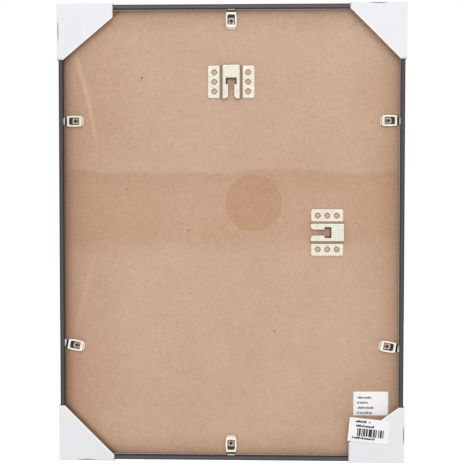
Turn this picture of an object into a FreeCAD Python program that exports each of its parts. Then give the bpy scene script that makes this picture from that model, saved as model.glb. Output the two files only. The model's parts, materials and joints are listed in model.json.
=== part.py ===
import FreeCAD, Part
import math
import os

# A portrait picture frame seen and used from behind: four mitred bars, glazing, a blank
# sheet and a hardboard back that six riveted turn clips hold in. Sizes are in millimetres.
# X runs across, Z up, Y from the wall to the front. The origin is where the wall's nail
# meets the wall plane: under the toothed edge of the portrait hanger, level with the
# rear faces of the bars.

# Format of the frame
BOARD_W = 300.0              # back board, across
BOARD_H = 400.0              # back board, up
RIM_W = 5.0                  # outer face of a bar to the edge of the board

# Section of a bar
LIP_W = 3.7                  # rear lip, as wide as it shows from behind
LIP_T = 3.5                  # rear lip, front to back
GROOVE_H = 1.5               # groove under the lip, front to back
GROOVE_WALL = 1.8            # wood left between the groove and the outer face
BOARD_CLEAR = 0.3            # play at each edge of the board
FACE_W = 10.0                # front face, outer face to sight edge
FACE_T = 4.6                 # front face at its outer side, in front of the glass
SIGHT_T = 3.0                # front face at the sight edge
BACK_R = 0.4                 # round of the rear outer arris
LIP_R = 0.3                  # round of the lip's inner arris
FACE_R = 1.5                 # round of the front outer arris
SIGHT_R = 0.8                # round of the sight edge

# Sheets in the rebate, from the back to the front
BOARD_T = 3.0
SHEET_T = 0.4
GLASS_T = 2.0
GLASS_CLEAR = 0.8            # play at each edge of the glass and of the sheet

# V nails across the mitres
NAIL_INSET = 2.5             # outer face to the middle of a leg
NAIL_LEG = 3.6
NAIL_T = 0.5
NAIL_DEPTH = 7.0
NAIL_SUNK = 0.2              # below the rear face

# Turn clip, measured from its pivot towards the bar
PIVOT_INSET = 14.5           # outer face of the bar to the pivot
CLIP_SPAN_Z = 101.4          # height of the side pivots above and below the middle
CLIP_T = 0.6                 # sheet metal
PLATE_HEAD = 7.9             # pivot to the step at the bar's side
PLATE_TAIL = 7.1             # pivot to the far end
PLATE_HEAD_W = 8.7
PLATE_MID_W = 9.9
PLATE_SHOULDER_W = 8.8
PLATE_TAIL_W = 7.3
SHOULDER_LEN = 1.1           # the cut corners at the far end
CROWN_R = 40.0               # bulge of the plate's long sides
PLATE_LIFT = 1.3             # board to the underside of the plate
TAIL_LIP = 0.75              # flat lip at the far end
TAIL_RUN = 0.6               # the slope down to that lip
STEP_RUN = 1.4               # the slope down to the tip
FOOT_LIFT = 0.3              # board to the underside of the tip and of the far end
TIP_W = 6.5
TIP_R = 1.0
TIP_SHY = 0.7                # tip to the bottom of the groove
WINDOW_W = 6.6
WINDOW_HEAD = 5.8            # pivot to the window's edge at the bar's side
WINDOW_R = 0.8               # round of the window's corners at the bar's side
TONGUE_W = 5.0
TONGUE_HEAD = 2.8            # pivot to the tongue's free end
TONGUE_FLAT = 2.3            # pivot to the foot of the tongue's slope
TONGUE_RUN = 0.9             # length of that slope
TONGUE_LIFT = 0.1            # board to the underside of the tongue
TONGUE_R = 1.2
BEND_R = 0.25                # inside radius of every bend in the clip
LEAN_LEFT_DEG = 10.5         # how far the lower side clips are left turned
LEAN_RIGHT_DEG = 9.5

# Hollow rivet that carries a clip
RIVET_BORE_R = 0.9
RIVET_SHANK_R = 1.5
RIVET_HEAD_R = 2.1
RIVET_HEAD_T = 0.5
FLARE_R = 2.0                # flared end, level with the board's front face
FLARE_DEPTH = 0.8
FLARE_SHY = 0.1              # the flare stops this far behind that face
PIVOT_FIT = 0.05             # running clearance of the clip on the shank
RIVET_FIT = 0.05             # clearance of the rivet in the board
HEAD_PLAY = 0.1              # tongue to the rivet's head

# Hanger plate
HANGER_INSET = 68.6          # outer face of the nearest bar to the hanger's middle
LANDSCAPE_RISE = 1.3         # the landscape hanger sits this much above the middle
HANGER_T = 0.8               # sheet metal
HANGER_W = 41.8
FLANGE_H = 28.7
FLANGE_R = 1.8
STRAP_W = 15.4               # raised middle
STRAP_H = 29.8
STRAP_RISE = 2.2             # clear height under the raised middle
JOGGLE_RUN = 2.6
HANGER_BEND_R = 0.4
HOLE_SIDE = 3.9              # pierced square holes, set on their corners
HOLE_CLIP = 0.9              # cut off each corner of a hole
HOLE_PITCH = 8.5
HOLE_COLUMNS = 30.4
HOLE_ROWS = 3
PRONG_BASE = 2.4             # the tooth bent down at each side of a hole
PRONG_DEPTH = 1.9
PRONG_T = 0.45
PRONG_FIT = 0.05
SLOT_DROP = 11.5             # top of the plate to the toothed edge
SLOT_HEAD_W = 9.9
SLOT_HEAD_H = 5.9
SLOT_NECK_W = 5.6
SLOT_MOUTH_R = 2.8
TOOTH_H = 0.7
TOOTH_PITCH = 1.9
TOOTH_COUNT = 5

# Folded card corner protectors
CARD_T = 0.6
CARD_PLAY_SIDE = 0.8         # bar to the card at the outer faces
CARD_PLAY_FACE = 0.15        # bar to the card at the back and the front
CARD_LEG = 50.4
CARD_END = 5.6               # straight end of a leg
CARD_END_TOP_LEFT = 12.8     # the deeper straight end of this corner's first leg
CARD_END_BOTTOM_RIGHT = 18.2
FOLD_R = 0.5
SLIT_START = 16.0            # from the outer corner, along one fold
SLIT_LEN = 19.0
SLIT_BITE = 1.5              # into the rear panel
SLIT_DROP = 1.2              # down the side wall

# Paper labels
PAPER_T = 0.15
INFO_W = 31.5
INFO_H = 22.0
INFO_RIGHT = 12.9            # outer face of the right bar to the label
INFO_LOW = 40.4              # outer face of the bottom bar to the label
PRICE_W = 36.5
PRICE_H = 21.7
PRICE_RIGHT = 31.0           # outer face of the right bar to the label's middle
PRICE_LOW = 27.9             # outer face of the bottom bar to the label's middle
PRICE_TURN_DEG = 5.8
PRICE_R = 1.0

CUT_OVER = 1.0               # how far every cutter stands past the faces it cuts

# Sizes and levels that follow from the values above
OUTER_W = BOARD_W + 2 * RIM_W
OUTER_H = BOARD_H + 2 * RIM_W
BOARD_BACK_Y = LIP_T + GROOVE_H
BOARD_FRONT_Y = BOARD_BACK_Y + BOARD_T
SHEET_FRONT_Y = BOARD_FRONT_Y + SHEET_T
GLASS_FRONT_Y = SHEET_FRONT_Y + GLASS_T
FRAME_D = GLASS_FRONT_Y + FACE_T
CARD_OUT = CARD_PLAY_SIDE + CARD_T
CARD_BACK_Y = -CARD_PLAY_FACE - CARD_T
CARD_FRONT_Y = FRAME_D + CARD_PLAY_FACE + CARD_T
TIP_REACH = PIVOT_INSET - GROOVE_WALL - TIP_SHY
SEAT_Z = OUTER_H / 2 - HANGER_INSET + STRAP_H / 2 - SLOT_DROP

# Quarter turns about Y: the top edge's way, then the right, bottom and left edges' ways
TOP_DEG = 0
RIGHT_DEG = 90
BOTTOM_DEG = 180
LEFT_DEG = 270
HOLE_TURN_DEG = 45

X_AXIS = FreeCAD.Vector(1, 0, 0)
Y_AXIS = FreeCAD.Vector(0, 1, 0)
ORIGIN = FreeCAD.Vector(0, 0, 0)


# Outlines

def plan_point(x, z):
    """A point of an outline drawn as the frame is seen from behind."""
    return FreeCAD.Vector(x, 0, z)


def section_point(inward, y):
    """A point of an outline drawn across the top edge: inward runs down from the outer face."""
    return FreeCAD.Vector(0, y, -inward)


def rounded_corner(before, corner, after, radius):
    """The two tangent points of a round at a corner and the middle of its arc."""
    to_before = (before - corner).normalize()
    to_after = (after - corner).normalize()
    half = to_before.getAngle(to_after) / 2
    start = corner + to_before * (radius / math.tan(half))
    end = corner + to_after * (radius / math.tan(half))
    inward = (to_before + to_after).normalize()
    middle = corner + inward * (radius / math.sin(half) - radius)
    return start, middle, end


def outline(corners, point=plan_point):
    """A closed wire through corners given as (first, second, radius)."""
    places = [point(first, second) for first, second, radius in corners]
    edges = []
    joints = []
    for index, corner in enumerate(corners):
        place = places[index]
        if corner[2] == 0:
            joints.append((place, place))
            continue
        after = places[(index + 1) % len(places)]
        start, middle, end = rounded_corner(places[index - 1], place, after, corner[2])
        edges.append(Part.Arc(start, middle, end).toShape())
        joints.append((start, end))
    for index, joint in enumerate(joints):
        following = joints[(index + 1) % len(joints)]
        edges.append(Part.LineSegment(joint[1], following[0]).toShape())
    return Part.Wire(Part.__sortEdges__(edges))


def prism(corners, back_y, front_y):
    """A plan outline carried from one level to another along Y."""
    face = Part.Face(outline(corners))
    face.translate(Y_AXIS * back_y)
    return face.extrude(Y_AXIS * (front_y - back_y))


def rectangle(width, height, radius=0):
    """The corners of a centred rectangle."""
    right = width / 2
    top = height / 2
    return [(-right, -top, radius), (right, -top, radius), (right, top, radius), (-right, top, radius)]


def disc(radius, back_y, front_y, x=0, z=0):
    """A round bar along Y."""
    return Part.makeCylinder(radius, front_y - back_y, FreeCAD.Vector(x, back_y, z), Y_AXIS)


def bent_strip(path, thickness, bend_radius):
    """The corners of a bent strip's side view. The path is its underside, left to right."""
    normals = []
    for start, end in zip(path, path[1:]):
        run = math.hypot(end[0] - start[0], end[1] - start[1])
        normals.append((-(end[1] - start[1]) / run, (end[0] - start[0]) / run))
    under = [(path[0][0], path[0][1], 0)]
    over = [(path[0][0] + normals[0][0] * thickness, path[0][1] + normals[0][1] * thickness, 0)]
    for place, before, after in zip(path[1:], normals, normals[1:]):
        spread = 1 + before[0] * after[0] + before[1] * after[1]
        shift = thickness / spread
        rises = before[0] * after[1] - before[1] * after[0] > 0
        under.append((place[0], place[1], bend_radius + (thickness if rises else 0)))
        over.append((place[0] + (before[0] + after[0]) * shift,
                     place[1] + (before[1] + after[1]) * shift,
                     bend_radius + (0 if rises else thickness)))
    last = path[-1]
    under.append((last[0], last[1], 0))
    over.append((last[0] + normals[-1][0] * thickness, last[1] + normals[-1][1] * thickness, 0))
    return under + over[::-1]


def turned(shape, degrees):
    """The shape turned about Y, clockwise as seen from behind."""
    copy = shape.copy()
    copy.rotate(ORIGIN, Y_AXIS, degrees)
    return copy


def moved(shape, x, y, z):
    """A copy of the shape, shifted."""
    copy = shape.copy()
    copy.translate(FreeCAD.Vector(x, y, z))
    return copy


# Bars and the nails that join them

def bar_section():
    """The C section that every bar is planed to."""
    rebate = RIM_W - BOARD_CLEAR
    corners = [
        (0, 0, BACK_R),
        (LIP_W, 0, LIP_R),
        (LIP_W, LIP_T, 0),
        (GROOVE_WALL, LIP_T, 0),
        (GROOVE_WALL, BOARD_BACK_Y, 0),
        (rebate, BOARD_BACK_Y, 0),
        (rebate, GLASS_FRONT_Y, 0),
        (FACE_W, GLASS_FRONT_Y, 0),
        (FACE_W, GLASS_FRONT_Y + SIGHT_T, SIGHT_R),
        (0, FRAME_D, FACE_R),
    ]
    return Part.Face(outline(corners, section_point))


def bar(length):
    """A bar along X with its outer face up at z = 0, cut to a mitre at both ends."""
    stick = bar_section().extrude(X_AXIS * length)
    stick.translate(X_AXIS * (-length / 2))
    half = length / 2
    mitre = [(-half, 0, 0), (half, 0, 0), (half - FACE_W, -FACE_W, 0), (FACE_W - half, -FACE_W, 0)]
    return stick.common(prism(mitre, -CUT_OVER, FRAME_D + CUT_OVER))


def v_nail(side_x, side_z):
    """One V nail: two legs from a point on the mitre, one along each bar."""
    near = NAIL_INSET - NAIL_T / 2
    far = NAIL_INSET + NAIL_T / 2
    end = NAIL_INSET + NAIL_LEG
    steps = [(near, near), (end, near), (end, far), (far, far), (far, end), (near, end)]
    corners = []
    for inward_x, inward_z in steps:
        corners.append((side_x * (OUTER_W / 2 - inward_x), side_z * (OUTER_H / 2 - inward_z), 0))
    return prism(corners, NAIL_SUNK, NAIL_SUNK + NAIL_DEPTH)


def nail_pocket(side_x, side_z):
    """The room that a nail has cut for itself, open to the rear face."""
    nail = v_nail(side_x, side_z)
    return nail.fuse(moved(nail, 0, -NAIL_SUNK - CUT_OVER, 0)).removeSplitter()


def frame_bars():
    """The four bars, each pocketed for the nails at its two ends."""
    pockets = [nail_pocket(side_x, side_z) for side_x in (-1, 1) for side_z in (-1, 1)]
    across = bar(OUTER_W)
    upright = bar(OUTER_H)
    bars = {
        "frame_bar_top": moved(turned(across, TOP_DEG), 0, 0, OUTER_H / 2),
        "frame_bar_right": moved(turned(upright, RIGHT_DEG), OUTER_W / 2, 0, 0),
        "frame_bar_bottom": moved(turned(across, BOTTOM_DEG), 0, 0, -OUTER_H / 2),
        "frame_bar_left": moved(turned(upright, LEFT_DEG), -OUTER_W / 2, 0, 0),
    }
    return {name: shape.cut(pockets) for name, shape in bars.items()}


def corner_v_nails():
    """The four nails as one group."""
    return Part.makeCompound([v_nail(side_x, side_z) for side_x in (-1, 1) for side_z in (-1, 1)])


# Places of the clips and hangers, seen from behind

def clip_places():
    """Name, pivot and turn of each clip. A clip at turn 0 points up, at the top bar."""
    side_x = OUTER_W / 2 - PIVOT_INSET
    end_z = OUTER_H / 2 - PIVOT_INSET
    return {
        "turn_clip_top": (0, end_z, TOP_DEG),
        "turn_clip_right_upper": (side_x, CLIP_SPAN_Z, RIGHT_DEG),
        "turn_clip_right_lower": (side_x, -CLIP_SPAN_Z, RIGHT_DEG + LEAN_RIGHT_DEG),
        "turn_clip_bottom": (0, -end_z, BOTTOM_DEG),
        "turn_clip_left_lower": (-side_x, -CLIP_SPAN_Z, LEFT_DEG + LEAN_LEFT_DEG),
        "turn_clip_left_upper": (-side_x, CLIP_SPAN_Z, LEFT_DEG),
    }


def hanger_places():
    """Name, middle and turn of each hanger. At turn 0 the slot opens downwards."""
    return {
        "hanger_portrait": (0, OUTER_H / 2 - HANGER_INSET, TOP_DEG),
        "hanger_landscape": (OUTER_W / 2 - HANGER_INSET, LANDSCAPE_RISE, RIGHT_DEG),
    }


def hanger_holes():
    """The middles of a hanger's pierced holes."""
    holes = []
    for side in (-1, 1):
        for row in range(HOLE_ROWS):
            holes.append((side * HOLE_COLUMNS / 2, (row - (HOLE_ROWS - 1) / 2) * HOLE_PITCH))
    return holes


# Sheets in the rebate

def back_board():
    """Hardboard, bored for the rivets and pierced by the hangers' prongs."""
    board = prism(rectangle(BOARD_W, BOARD_H), BOARD_BACK_Y, BOARD_FRONT_Y)
    bore = disc(RIVET_SHANK_R + RIVET_FIT, BOARD_BACK_Y - CUT_OVER, BOARD_FRONT_Y + CUT_OVER)
    sink_y = BOARD_FRONT_Y - FLARE_DEPTH
    sink_r = RIVET_SHANK_R + RIVET_FIT
    mouth_r = flare_radius(FLARE_DEPTH + CUT_OVER) + RIVET_FIT
    sink = Part.makeCone(sink_r, mouth_r, FLARE_DEPTH + CUT_OVER, Y_AXIS * sink_y, Y_AXIS)
    hole = bore.fuse(sink)
    cutters = [moved(hole, x, 0, z) for x, z, turn in clip_places().values()]
    pierced = [moved(prong, across, 0, up) for across, up in hanger_holes() for prong in prongs(PRONG_FIT)]
    for x, z, turn in hanger_places().values():
        cutters.extend(moved(turned(cut, turn), x, BOARD_BACK_Y, z) for cut in pierced)
    return board.cut(cutters)


def insert_sheet():
    """The blank sheet that shows through the glass."""
    sheet = rectangle(BOARD_W - 2 * GLASS_CLEAR, BOARD_H - 2 * GLASS_CLEAR)
    return prism(sheet, BOARD_FRONT_Y, SHEET_FRONT_Y)


def glass_pane():
    """The glazing, behind the sight edge."""
    pane = rectangle(BOARD_W - 2 * GLASS_CLEAR, BOARD_H - 2 * GLASS_CLEAR)
    return prism(pane, SHEET_FRONT_Y, GLASS_FRONT_Y)


# Turn clip: drawn with its pivot at the origin, its tip up and the board's back at y = 0

def side_view(path, thickness, bend_radius, width):
    """A strip bent along Z and spread across X. The path gives (z, height over the board)."""
    corners = bent_strip(path, thickness, bend_radius)
    face = Part.Face(outline(corners, lambda z, height: FreeCAD.Vector(-width / 2, -height, z)))
    return face.extrude(X_AXIS * width)


def clip_plate():
    """The barrel shaped plate with its stepped tail lip and tip."""
    step_end = PLATE_HEAD + STEP_RUN
    path = [
        (-PLATE_TAIL, FOOT_LIFT),
        (TAIL_LIP - PLATE_TAIL, FOOT_LIFT),
        (TAIL_LIP + TAIL_RUN - PLATE_TAIL, PLATE_LIFT),
        (PLATE_HEAD, PLATE_LIFT),
        (step_end, FOOT_LIFT),
        (TIP_REACH, FOOT_LIFT),
    ]
    strip = side_view(path, CLIP_T, BEND_R, PLATE_MID_W)
    shoulder_z = SHOULDER_LEN - PLATE_TAIL
    half = [
        (PLATE_TAIL_W / 2, -PLATE_TAIL, 0),
        (PLATE_SHOULDER_W / 2, shoulder_z, 0),
        (PLATE_MID_W / 2, (shoulder_z + PLATE_HEAD) / 2, CROWN_R),
        (PLATE_HEAD_W / 2, PLATE_HEAD, 0),
        (TIP_W / 2, PLATE_HEAD, 0),
        (TIP_W / 2, TIP_REACH, TIP_R),
    ]
    mirrored = [(-x, z, radius) for x, z, radius in half[::-1]]
    highest = PLATE_LIFT + CLIP_T + CUT_OVER
    plate = strip.common(prism(half + mirrored, -highest, CUT_OVER))
    window_tail = -TONGUE_FLAT - TONGUE_RUN
    window = [(-WINDOW_W / 2, window_tail, 0), (WINDOW_W / 2, window_tail, 0),
              (WINDOW_W / 2, WINDOW_HEAD, WINDOW_R), (-WINDOW_W / 2, WINDOW_HEAD, WINDOW_R)]
    return plate.cut(prism(window, -highest, CUT_OVER))


def clip_tongue():
    """The tongue pressed down out of the window, pierced for the rivet."""
    root = -TONGUE_FLAT - TONGUE_RUN
    path = [
        (root - CLIP_T, PLATE_LIFT),
        (root, PLATE_LIFT),
        (-TONGUE_FLAT, TONGUE_LIFT),
        (TONGUE_HEAD, TONGUE_LIFT),
    ]
    strip = side_view(path, CLIP_T, BEND_R, TONGUE_W)
    shape = [(-TONGUE_W / 2, root - CLIP_T, 0), (TONGUE_W / 2, root - CLIP_T, 0),
             (TONGUE_W / 2, TONGUE_HEAD, TONGUE_R), (-TONGUE_W / 2, TONGUE_HEAD, TONGUE_R)]
    highest = PLATE_LIFT + CLIP_T + CUT_OVER
    tongue = strip.common(prism(shape, -highest, CUT_OVER))
    return tongue.cut(disc(RIVET_SHANK_R + PIVOT_FIT, -highest, CUT_OVER))


def turn_clips():
    """The six clips, each at its pivot."""
    clip = clip_plate().fuse(clip_tongue()).removeSplitter()
    clips = {}
    for name, (x, z, turn) in clip_places().items():
        clips[name] = moved(turned(clip, turn), x, BOARD_BACK_Y, z)
    return clips


def flare_radius(depth):
    """How wide the rivet's flare is at a depth past its root."""
    return RIVET_SHANK_R + (FLARE_R - RIVET_SHANK_R) * depth / FLARE_DEPTH


def clip_rivet():
    """A hollow rivet: a flat head behind, flared in its countersink in front."""
    head_under = TONGUE_LIFT + CLIP_T + HEAD_PLAY
    head_top = head_under + RIVET_HEAD_T
    flare_end = FLARE_SHY - BOARD_T
    corners = [
        (RIVET_BORE_R, flare_end, 0),
        (flare_radius(FLARE_DEPTH - FLARE_SHY), flare_end, 0),
        (RIVET_SHANK_R, FLARE_DEPTH - BOARD_T, 0),
        (RIVET_SHANK_R, head_under, 0),
        (RIVET_HEAD_R, head_under, 0),
        (RIVET_HEAD_R, head_top, 0),
        (RIVET_BORE_R, head_top, 0),
    ]
    half = Part.Face(outline(corners, lambda radius, height: FreeCAD.Vector(radius, -height, 0)))
    return half.revolve(ORIGIN, Y_AXIS, 360)


def clip_rivets():
    """The six rivets as one group."""
    rivet = clip_rivet()
    return Part.makeCompound([moved(rivet, x, BOARD_BACK_Y, z) for x, z, turn in clip_places().values()])


# Hanger plate: drawn with its middle at the origin, its slot opening down, the board at y = 0

def prongs(fit=0):
    """The four teeth bent down round one hole, as deep as they are pressed into the board."""
    inner = HOLE_SIDE / 2 - fit
    half = PRONG_BASE / 2 + fit
    tooth = [(-half, 0, 0), (half, 0, 0), (0, PRONG_DEPTH + fit, 0)]
    face = Part.Face(outline(tooth, lambda z, depth: FreeCAD.Vector(inner, depth, z)))
    prong = face.extrude(X_AXIS * (PRONG_T + 2 * fit))
    return [turned(prong, HOLE_TURN_DEG + quarter) for quarter in (TOP_DEG, RIGHT_DEG, BOTTOM_DEG, LEFT_DEG)]


def pierced_hole():
    """The cutter for one hole: a square on its corner, with the corners clipped."""
    half = HOLE_SIDE / 2
    near = half - HOLE_CLIP
    corners = [(half, near), (near, half), (-near, half), (-half, near),
               (-half, -near), (-near, -half), (near, -half), (half, -near)]
    hole = prism([(x, z, 0) for x, z in corners], -HANGER_T - CUT_OVER, 0)
    return turned(hole, HOLE_TURN_DEG)


def hanger_slot():
    """The T slot that drops over a nail: flared mouth, neck, head and toothed edge."""
    edge = STRAP_H / 2 - SLOT_DROP
    neck_top = edge - SLOT_HEAD_H
    bottom = -STRAP_H / 2
    flare = SLOT_NECK_W / 2 + SLOT_MOUTH_R + CUT_OVER
    half = [
        (flare, bottom - CUT_OVER, 0),
        (flare, bottom, 0),
        (SLOT_NECK_W / 2, bottom, SLOT_MOUTH_R),
        (SLOT_NECK_W / 2, neck_top, 0),
        (SLOT_HEAD_W / 2, neck_top, 0),
        (SLOT_HEAD_W / 2, edge, 0),
    ]
    mirrored = [(-x, z, radius) for x, z, radius in half[::-1]]
    lowest = -STRAP_RISE - HANGER_T - CUT_OVER
    slot = prism(half + mirrored, lowest, 0)
    notch = prism([(-TOOTH_H, edge, 0), (TOOTH_H, edge, 0), (0, edge + TOOTH_H, 0)], lowest, 0)
    middle = (TOOTH_COUNT - 1) / 2
    notches = [moved(notch, (index - middle) * TOOTH_PITCH, 0, 0) for index in range(TOOTH_COUNT)]
    return slot.fuse(notches)


def hanger():
    """Two flanges pressed into the board and a raised strap with the slot."""
    inner = STRAP_W / 2
    path = [
        (-HANGER_W / 2, 0),
        (-inner - JOGGLE_RUN, 0),
        (-inner, STRAP_RISE),
        (inner, STRAP_RISE),
        (inner + JOGGLE_RUN, 0),
        (HANGER_W / 2, 0),
    ]
    corners = bent_strip(path, HANGER_T, HANGER_BEND_R)
    low = -STRAP_H / 2
    face = Part.Face(outline(corners, lambda x, height: FreeCAD.Vector(x, -height, low)))
    sheet = face.extrude(FreeCAD.Vector(0, 0, STRAP_H))
    highest = -STRAP_RISE - HANGER_T - CUT_OVER
    flanges = prism(rectangle(HANGER_W, FLANGE_H, FLANGE_R), highest, CUT_OVER)
    strap = prism(rectangle(STRAP_W, STRAP_H), highest, CUT_OVER)
    plate = sheet.common(flanges.fuse(strap)).cut(hanger_slot())
    plate = plate.cut([moved(pierced_hole(), across, 0, up) for across, up in hanger_holes()])
    teeth = [moved(prong, across, 0, up) for across, up in hanger_holes() for prong in prongs()]
    return plate.fuse(teeth).removeSplitter()


def hangers():
    """The same hanger pressed in twice, for hanging upright and sideways."""
    plate = hanger()
    return {name: moved(turned(plate, turn), x, BOARD_BACK_Y, z)
            for name, (x, z, turn) in hanger_places().items()}


# Corner protectors: drawn for the top left corner, with the card's outer corner at the origin

def folded_edges(block):
    """The edges of a protector's block where a panel is folded into a wall."""
    edges = []
    for edge in block.Edges:
        middle = edge.CenterOfMass
        on_wall = abs(middle.x) < FOLD_R / 2 or abs(middle.z) < FOLD_R / 2
        on_panel = min(abs(middle.y - CARD_BACK_Y), abs(middle.y - CARD_FRONT_Y)) < FOLD_R / 2
        if on_wall and on_panel:
            edges.append(edge)
    return edges


def fold_slit():
    """The lens shaped slit where the card's lock tab is tucked in, along the left fold."""
    start = plan_point(0, -SLIT_START)
    middle = plan_point(SLIT_BITE, -SLIT_START - SLIT_LEN / 2)
    end = plan_point(0, -SLIT_START - SLIT_LEN)
    out_end = plan_point(-CUT_OVER, -SLIT_START - SLIT_LEN)
    out_start = plan_point(-CUT_OVER, -SLIT_START)
    edges = [Part.Arc(start, middle, end).toShape(), Part.LineSegment(end, out_end).toShape(),
             Part.LineSegment(out_end, out_start).toShape(), Part.LineSegment(out_start, start).toShape()]
    lens = Part.Face(Part.Wire(edges))
    lens.translate(Y_AXIS * (CARD_BACK_Y - CUT_OVER))
    return lens.extrude(Y_AXIS * (CUT_OVER + SLIT_DROP))


def corner_protector(first_end):
    """A card pocket with a wall on two sides, open along the diagonal and at both leg ends."""
    panel = [(0, 0, 0), (CARD_LEG, 0, 0), (CARD_LEG, -first_end, 0), (CARD_END, -CARD_LEG, 0), (0, -CARD_LEG, 0)]
    block = prism(panel, CARD_BACK_Y, CARD_FRONT_Y)
    block = block.makeFillet(FOLD_R, folded_edges(block))
    far = CARD_LEG + CUT_OVER
    room = [(CARD_T, -CARD_T, 0), (far, -CARD_T, 0), (far, -far, 0), (CARD_T, -far, 0)]
    pocket = prism(room, CARD_BACK_Y + CARD_T, CARD_FRONT_Y - CARD_T)
    return block.cut(pocket).cut(fold_slit())


def corner_protectors():
    """The four protectors, one slipped over each mitre."""
    right = OUTER_W / 2 + CARD_OUT
    top = OUTER_H / 2 + CARD_OUT
    places = {
        "corner_protector_top_left": (CARD_END_TOP_LEFT, -right, top, TOP_DEG),
        "corner_protector_top_right": (CARD_END, right, top, RIGHT_DEG),
        "corner_protector_bottom_right": (CARD_END_BOTTOM_RIGHT, right, -top, BOTTOM_DEG),
        "corner_protector_bottom_left": (CARD_END, -right, -top, LEFT_DEG),
    }
    return {name: moved(turned(corner_protector(first_end), turn), x, 0, z)
            for name, (first_end, x, z, turn) in places.items()}


# Labels

def info_label():
    """A bare paper label on the board, by the right lower corner."""
    label = prism(rectangle(INFO_W, INFO_H), BOARD_BACK_Y - PAPER_T, BOARD_BACK_Y)
    x = OUTER_W / 2 - INFO_RIGHT - INFO_W / 2
    z = INFO_LOW + INFO_H / 2 - OUTER_H / 2
    return moved(label, x, 0, z)


def price_label():
    """A paper label stuck askew on the lower right protector, overhanging its slanted edge."""
    label = prism(rectangle(PRICE_W, PRICE_H, PRICE_R), CARD_BACK_Y - PAPER_T, CARD_BACK_Y)
    return moved(turned(label, PRICE_TURN_DEG), OUTER_W / 2 - PRICE_RIGHT, 0, PRICE_LOW - OUTER_H / 2)


def all_nodes():
    """Every sub-part by its name, with the frame's middle at the origin."""
    nodes = {}
    nodes.update(frame_bars())
    nodes["corner_v_nails"] = corner_v_nails()
    nodes["glass_pane"] = glass_pane()
    nodes["insert_sheet"] = insert_sheet()
    nodes["back_board"] = back_board()
    nodes.update(turn_clips())
    nodes["clip_rivets"] = clip_rivets()
    nodes.update(hangers())
    nodes.update(corner_protectors())
    nodes["info_label"] = info_label()
    nodes["price_label"] = price_label()
    return nodes


os.makedirs("parts", exist_ok=True)
for node_name, node_shape in all_nodes().items():
    placed = moved(node_shape, 0, 0, -SEAT_Z)
    placed.exportStep("parts/" + node_name + ".step")
    print(node_name, len(placed.Solids), round(placed.Volume, 2), placed.isValid())
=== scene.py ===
import json
import math

import bmesh
import bpy
from mathutils import Euler, Matrix, Vector, geometry, kdtree, noise


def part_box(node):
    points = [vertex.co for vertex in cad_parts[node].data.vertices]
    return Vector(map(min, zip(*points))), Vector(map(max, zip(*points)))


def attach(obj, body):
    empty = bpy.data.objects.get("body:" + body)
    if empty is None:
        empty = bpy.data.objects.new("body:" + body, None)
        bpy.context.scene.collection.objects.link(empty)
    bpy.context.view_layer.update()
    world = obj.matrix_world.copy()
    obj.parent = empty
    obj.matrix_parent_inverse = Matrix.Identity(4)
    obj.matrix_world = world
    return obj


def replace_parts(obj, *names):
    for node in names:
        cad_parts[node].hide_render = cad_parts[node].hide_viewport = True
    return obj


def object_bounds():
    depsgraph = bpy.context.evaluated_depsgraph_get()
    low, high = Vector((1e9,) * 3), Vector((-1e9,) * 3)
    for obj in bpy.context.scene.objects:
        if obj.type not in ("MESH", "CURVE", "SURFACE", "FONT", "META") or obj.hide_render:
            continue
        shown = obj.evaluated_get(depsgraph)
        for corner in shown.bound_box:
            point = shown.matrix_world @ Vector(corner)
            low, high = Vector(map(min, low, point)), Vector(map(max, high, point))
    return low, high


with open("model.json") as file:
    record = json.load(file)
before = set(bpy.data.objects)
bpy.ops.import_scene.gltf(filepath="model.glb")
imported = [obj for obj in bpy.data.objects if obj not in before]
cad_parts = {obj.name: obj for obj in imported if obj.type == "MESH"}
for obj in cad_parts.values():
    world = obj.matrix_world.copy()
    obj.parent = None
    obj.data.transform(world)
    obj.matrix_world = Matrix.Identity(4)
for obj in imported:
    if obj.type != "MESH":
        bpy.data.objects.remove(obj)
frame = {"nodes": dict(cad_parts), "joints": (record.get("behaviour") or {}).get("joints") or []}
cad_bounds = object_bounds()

# A picture frame seen from behind: dark bars, a hardboard back held by riveted turn clips,
# two slotted hangers, white card corner protectors and two paper labels. Metres, as in the
# frame: X across, Z up, Y from the wall to the front.
MM = 0.001

# Camera and image
IMAGE_SIDE_PX = 464
FOCAL_PX = 1000
SENSOR_MM = 36
CAMERA_NEAR = 0.01
CAMERA_PLACE = (0.0295, -0.8968, -0.1059)
CAMERA_TILT_DEG = (87.949, -0.016, 1.828)

# Light
SKY_ON_OBJECT = 0.84
FLOOR_GLOW = 0.45
FLOOR_HALF = 1.5
FLOOR_DROP = 60 * MM
KEY_PLACE = (0.3, -1.5, 1.25)
KEY_SIDE = 1.1
KEY_WATTS = 11
FILL_PLACE = (-0.7, 1.9, 0.8)
FILL_SIDE = 1.4
FILL_WATTS = 12

# Turn clip, from its pivot towards the bar, as it lies on the board
CLIP_T = 0.6 * MM
CLIP_TURNS_DEG = {
    "turn_clip_top": 0,
    "turn_clip_right_upper": 90,
    "turn_clip_right_lower": 99.5,
    "turn_clip_bottom": 180,
    "turn_clip_left_lower": 280.5,
    "turn_clip_left_upper": 270,
}
CLIP_GRID = 0.4 * MM
PLATE_TAIL = 7.1 * MM
PLATE_HEAD = 7.9 * MM
PLATE_TAIL_W = 7.3 * MM
PLATE_SHOULDER_W = 8.8 * MM
PLATE_MID_W = 9.9 * MM
PLATE_HEAD_W = 8.7 * MM
SHOULDER_LEN = 1.1 * MM
PLATE_TOP = 1.9 * MM
FOOT_TOP = 0.9 * MM
TONGUE_TOP = 0.7 * MM
STEP_RUN = 1.4 * MM
TIP_W = 6.5 * MM
TIP_R = 1.0 * MM
TIP_REACH = 12.0 * MM
# How far the painted shade of the step runs onto the tip
TIP_SHADE_RUN = 0.55 * MM
TAIL_LIP = 0.75 * MM
TAIL_RUN = 0.6 * MM
WINDOW_W = 6.6 * MM
WINDOW_HEAD = 5.8 * MM
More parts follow.
